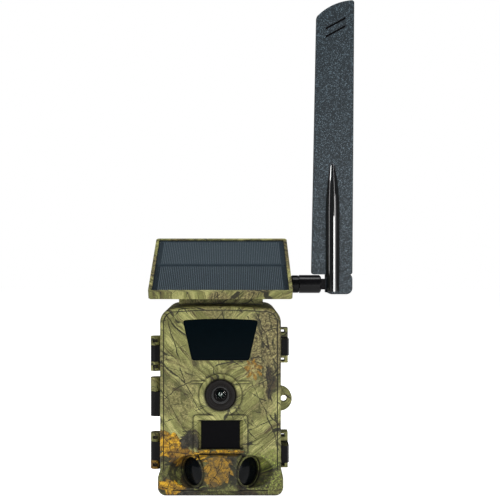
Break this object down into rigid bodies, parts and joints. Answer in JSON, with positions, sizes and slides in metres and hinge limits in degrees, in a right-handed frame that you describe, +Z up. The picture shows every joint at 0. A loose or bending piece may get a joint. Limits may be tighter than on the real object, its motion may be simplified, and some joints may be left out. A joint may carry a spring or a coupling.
{
  "type": "trail camera",
  "caption": "Wildlife trail camera in a camouflage case with a tilting solar panel on top, a swivelling paddle antenna, an infrared window, a lens and motion sensors.",
  "frame": {"origin": "mouth of the tripod socket, in the middle of the underside", "axes": "+X to the viewer's right, front faces -Y, +Z up"},
  "size_m": [0.1622, 0.0856, 0.3863],
  "materials": {
    "camo_plastic": "satin, printed with a leaf and bark pattern",
    "camo_door": "satin, printed with a leaf and bark pattern",
    "camo_panel": "satin, printed with a leaf and bark pattern",
    "black_plastic": "fine texture",
    "dark_window": "polished infrared window",
    "lens_black": "matte with fine rings",
    "lens_glass": "coated",
    "pir_lens": "dark Fresnel lens",
    "circuit_board": "solder mask",
    "led_clear": "clear epoxy",
    "steel": "plated",
    "brass": "gold plated",
    "cell_wrap": "printed sleeve",
    "rubber": "matte",
    "grey_plastic": "fine texture",
    "display": "polished",
    "solar_cell": "silicon with silver fingers",
    "panel_glass": "laminate",
    "antenna_body": "fine sparkle texture",
    "antenna_gloss": "polished",
    "shield": "stamped can"
  },
  "bodies": {
    "rear_case": {"antenna_jack": "brass", "battery_cells": "cell_wrap", "battery_contacts": "steel", "battery_cover": "grey_plastic", "battery_tray": "grey_plastic", "case_gasket": "rubber", "hinge_pins": "steel", "latch_pins": "steel", "panel_neck": "camo_plastic", "panel_pin": "steel", "port_plug": "rubber", "power_board": "circuit_board", "rear_case": "camo_plastic", "strap_bracket": "black_plastic", "strap_bracket_screws": "steel", "tripod_insert": "brass"},
    "front_door": {"front_cover": "camo_door", "inner_panel": "grey_plastic", "inner_panel_screws": "steel", "ir_window": "dark_window", "ir_led_board": "circuit_board", "ir_leds": "led_clear", "lens_ring": "lens_black", "lens_barrel": "lens_black", "lens_glass": "lens_glass", "lens_holder": "lens_black", "image_sensor": "shield", "pir_window": "pir_lens", "side_pir_windows": "pir_lens", "pir_sensors": "shield", "mainboard": "circuit_board", "cellular_module": "shield", "sim_card": "shield", "sd_card": "black_plastic", "speaker": "black_plastic", "microphone": "black_plastic", "keypad_board": "circuit_board", "lcd_display": "display", "display_window": "display", "hinge_barrels": "black_plastic"},
    "solar_panel": {"panel_frame": "camo_panel", "solar_cells": "solar_cell", "panel_glass": "panel_glass", "panel_back": "camo_panel", "panel_screws": "steel"},
    "ir_filter": {"ir_cut_filter": "lens_glass"},
    "latch_upper": {"latch_lever_upper": "black_plastic"},
    "latch_lower": {"latch_lever_lower": "black_plastic"},
    "antenna_nut": {"antenna_nut": "antenna_gloss"},
    "antenna_base": {"antenna_base": "antenna_gloss", "elbow_pin": "steel"},
    "antenna_blade": {"antenna_blade": "antenna_body"},
    "power_switch": {"power_switch_knob": "black_plastic"},
    "button_up": {"button_up": "rubber"},
    "button_down": {"button_down": "rubber"},
    "button_left": {"button_left": "rubber"},
    "button_right": {"button_right": "rubber"},
    "button_ok": {"button_ok": "rubber"},
    "button_menu": {"button_menu": "rubber"}
  },
  "joints": [
    {"name": "door_hinge", "type": "hinge", "parent": "rear_case", "child": "front_door", "pos_m": [-0.051, -0.01, 0.068], "axis": [0, 0, -1], "range_deg": [0, 110]},
    {"name": "latch_upper_pivot", "type": "hinge", "parent": "rear_case", "child": "latch_upper", "pos_m": [0.05, 0, 0.1099], "axis": [0, 0, 1], "range_deg": [0, 100]},
    {"name": "latch_lower_pivot", "type": "hinge", "parent": "rear_case", "child": "latch_lower", "pos_m": [0.05, 0, 0.0273], "axis": [0, 0, 1], "range_deg": [0, 100]},
    {"name": "panel_tilt", "type": "hinge", "parent": "rear_case", "child": "solar_panel", "pos_m": [0, 0.01, 0.17], "axis": [-1, 0, 0], "range_deg": [0, 45]},
    {"name": "antenna_nut_spin", "type": "hinge", "parent": "rear_case", "child": "antenna_nut", "pos_m": [0.056, 0.007, 0.1578], "axis": [1, 0, 0], "continuous": true},
    {"name": "antenna_swivel", "type": "hinge", "parent": "rear_case", "child": "antenna_base", "pos_m": [0.07, 0.007, 0.1578], "axis": [1, 0, 0], "range_deg": [-90, 90]},
    {"name": "antenna_elbow", "type": "hinge", "parent": "antenna_base", "child": "antenna_blade", "pos_m": [0.09, 0.007, 0.1578], "axis": [0, 1, 0], "range_deg": [0, 90]},
    {"name": "ir_filter_slide", "type": "slide", "parent": "front_door", "child": "ir_filter", "axis": [1, 0, 0], "range_m": [0, 0.0068]},
    {"name": "power_switch_slide", "type": "slide", "parent": "front_door", "child": "power_switch", "axis": [1, 0, 0], "range_m": [0, 0.008]},
    {"name": "button_up_press", "type": "slide", "parent": "front_door", "child": "button_up", "axis": [0, -1, 0], "range_m": [0, 0.0004], "stiffness_N_per_m": 400},
    {"name": "button_down_press", "type": "slide", "parent": "front_door", "child": "button_down", "axis": [0, -1, 0], "range_m": [0, 0.0004], "stiffness_N_per_m": 400},
    {"name": "button_left_press", "type": "slide", "parent": "front_door", "child": "button_left", "axis": [0, -1, 0], "range_m": [0, 0.0004], "stiffness_N_per_m": 400},
    {"name": "button_right_press", "type": "slide", "parent": "front_door", "child": "button_right", "axis": [0, -1, 0], "range_m": [0, 0.0004], "stiffness_N_per_m": 400},
    {"name": "button_ok_press", "type": "slide", "parent": "front_door", "child": "button_ok", "axis": [0, -1, 0], "range_m": [0, 0.0004], "stiffness_N_per_m": 400},
    {"name": "button_menu_press", "type": "slide", "parent": "front_door", "child": "button_menu", "axis": [0, -1, 0], "range_m": [0, 0.0004], "stiffness_N_per_m": 400}
  ]
}
